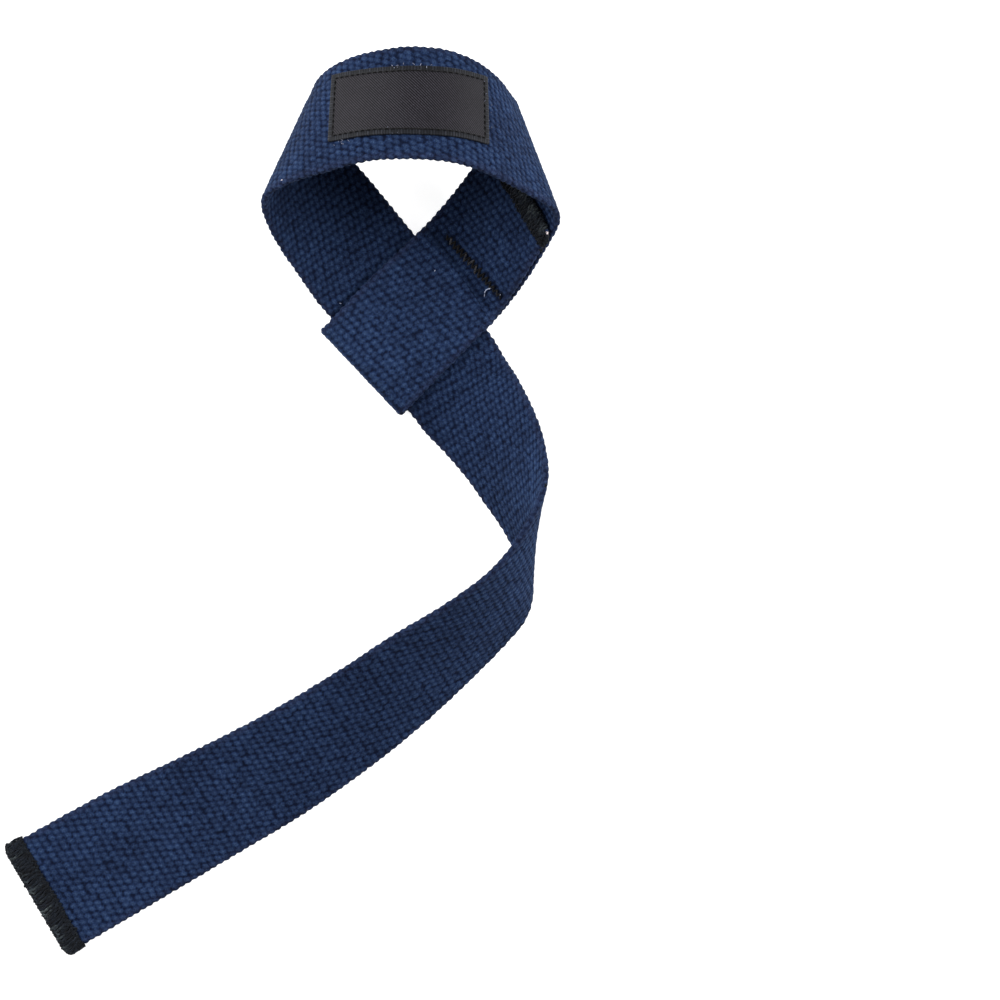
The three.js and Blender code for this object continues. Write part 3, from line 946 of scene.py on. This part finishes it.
# The twill's stripes grow stronger towards the label's middle, in relief and as painted sheen in the
# colour.
middle_sheen_and_relief = 0.55 + 0.45 * np.exp(-((label_distance - LABEL_LENGTH / 2) / TWILL_SHEEN_REACH) ** 2)
twill = 0.5 + 0.5 * middle_sheen_and_relief * np.cos(2 * math.pi * slantwise / TWILL_PITCH)
border_place = np.where(to_side < to_end, label_distance, label_across)
cast_number = np.rint(border_place / CAST_PITCH).astype(int) % CAST_HEIGHTS
cast_height = seeded.uniform(0.3, 1.0, CAST_HEIGHTS)[cast_number]
cast = cast_height * (0.5 + 0.5 * np.cos(2 * math.pi * border_place / CAST_PITCH))
relief = TWILL_RISE * twill * field + (CAST_RISE * cast + BORDER_RISE) * (1 - field)
groove = np.exp(-((to_border - STITCH_INSET) / GROOVE_REACH) ** 2)
relief = relief - GROOVE_DEPTH * groove
half = LABEL_THICKNESS / 2 * (0.55 + 0.45 * smooth_step(to_end / 0.5))
on_top = off_face < -0.5
label_radius = half + np.where(on_top, relief, 0.0)
middle, inner, sideways = strap_frame(*label_place(label_distance, label_across))
points = middle - inner * LABEL_LIFT
points = points + sideways * (off_side * half)[:, None] + inner * (off_face * label_radius)[:, None]
shape_to(label, points)
keep_value(label, "twill", np.where(on_top, twill * field + 0.5 * (1 - field), 0.5))
keep_value(label, "border", 1 - field)
keep_value(label, "cast", cast)
keep_value(label, "groove", groove)
close_up(label)


def woven_label():
    """Charcoal twill, dull in the border, its ribs paler and brightest towards the middle as painted
    sheen.
    """
    material, tree, shader = new_material("charcoal woven label")
    shade, fibres = fuzz_in(tree, fibre_size=2400.0, patch_size=60.0)
    ribs = ramp(tree, read_value(tree, "twill"), [(0.3, LABEL_DARK), (0.95, LABEL_PALE)])
    casts = ramp(tree, read_value(tree, "cast"), [(0.1, BORDER_DARK), (0.9, BORDER_PALE)])
    edged = mix_colour(tree, read_value(tree, "border"), ribs, casts)
    # Painted shade in the groove along the stitching.
    edged = mix_colour(tree, read_value(tree, "groove"), edged, LABEL_GROOVE_SHADE)
    light = ramp(tree, shade, [(0.33, (0.5, 0.5, 0.52)), (0.67, (1.5, 1.5, 1.48))])
    colour = mix_colour(tree, 1.0, edged, light, "MULTIPLY")
    tree.links.new(colour, shader.inputs["Base Color"])
    shader.inputs["Roughness"].default_value = 0.6
    shader.inputs["Specular IOR Level"].default_value = 0.12
    add_bump(tree, shader, fibres, strength=0.4, distance_mm=0.06)
    return material


finish_piece(label, woven_label(), "label", "label_patch")


# Lint along the label's low edge by its left end, at the middle of its high edge and its right end
frayed_bits("lint_label_low", 14, (label_middle + 4, label_middle + 26), (7.4, 9.6), 1.5, 0.0)
frayed_bits("lint_label_high", 9, (label_middle - 8, label_middle + 4), (29.6, 31.0), 2.2, 0.1)
frayed_bits("lint_label_right", 7, (label_middle - 27, label_middle - 24), (12.0, 31.0), 2.2, 0.0)


def label_stitching():
    """Running stitch round the label, just inside its border, up and down through the cloth."""
    length, height = LABEL_LENGTH - 2 * STITCH_INSET, LABEL_HEIGHT - 2 * STITCH_INSET
    total = 2 * (length + height)
    count = int(round(total / STITCH_PITCH))
    points = count * POINTS_PER_STITCH
    walk = np.arange(points) * total / points
    run_along = np.clip(walk, 0, length) - np.clip(walk - length - height, 0, length)
    run_across = np.clip(walk - length, 0, height) - np.clip(walk - 2 * length - height, 0, height)
    phase = np.mod(np.arange(points), POINTS_PER_STITCH) / POINTS_PER_STITCH
    lift = LABEL_LIFT + STITCH_LIFT + STITCH_WAVE * np.sin(2 * math.pi * phase)
    middle, inner, _ = strap_frame(*label_place(STITCH_INSET + run_along, STITCH_INSET + run_across))
    piece = thread(
        "label_stitching", middle - inner * lift[:, None], -inner, STITCH_HALF_WIDTH,
        STITCH_HALF_HEIGHT, strand=0.25)
    finish_piece(piece, stitch_look, "thread")


label_stitching()


# Table, light and camera

bpy.ops.object.select_all(action="DESELECT")
bpy.ops.mesh.primitive_plane_add(size=6.0, location=(0, 0, 0))
table = bpy.context.object
table.name = "table"
table_look, _, table_shader = new_material("pale table")
table_shader.inputs["Base Color"].default_value = (0.4, 0.4, 0.4, 1)
table_shader.inputs["Roughness"].default_value = 0.9
table_shader.inputs["Emission Color"].default_value = (1, 1, 1, 1)
table_shader.inputs["Emission Strength"].default_value = 0.86
table.data.materials.append(table_look)

world = bpy.data.worlds.new("studio")
scene.world = world
world.use_nodes = True
background = world.node_tree.nodes["Background"]
background.inputs["Color"].default_value = (1, 1, 1, 1)
background.inputs["Strength"].default_value = 0.3

SOFT_BOXES = [
    # name, place, size, watts
    ("soft_box_left", (-0.95, 0.35, 0.62), 0.8, 23.0),
    ("soft_box_right", (1.06, 0.23, 0.51), 0.6, 19.0),
    ("soft_box_above", (-0.3, 0.5, 1.5), 1.0, 5.0),
]
AIM = (0.03, 0.02, 0.02)
SENSOR_WIDTH = 36.0
CAMERA_HEIGHT = 1200.0
VIEW_WIDTH = 319.5  # how much of the table the picture shows
for box_name, place, size, watts in SOFT_BOXES:
    lamp_data = bpy.data.lights.new(box_name, "AREA")
    lamp_data.shape = "DISK"
    lamp_data.size = size
    lamp_data.energy = watts
    lamp = bpy.data.objects.new(box_name, lamp_data)
    lamp.location = place
    aim = [goal - start for goal, start in zip(AIM, place)]
    flat_run = math.hypot(aim[0], aim[1])
    lamp.rotation_euler = (math.atan2(flat_run, -aim[2]), 0, math.atan2(-aim[0], aim[1]))
    scene.collection.objects.link(lamp)

camera_data = bpy.data.cameras.new("camera")
camera_data.sensor_width = SENSOR_WIDTH
camera_data.lens = SENSOR_WIDTH * CAMERA_HEIGHT / VIEW_WIDTH
camera = bpy.data.objects.new("camera", camera_data)
camera.location = (0.069848, 0.003528, CAMERA_HEIGHT * METRES_PER_MM)
scene.collection.objects.link(camera)
scene.camera = camera
scene.view_settings.view_transform = "Standard"
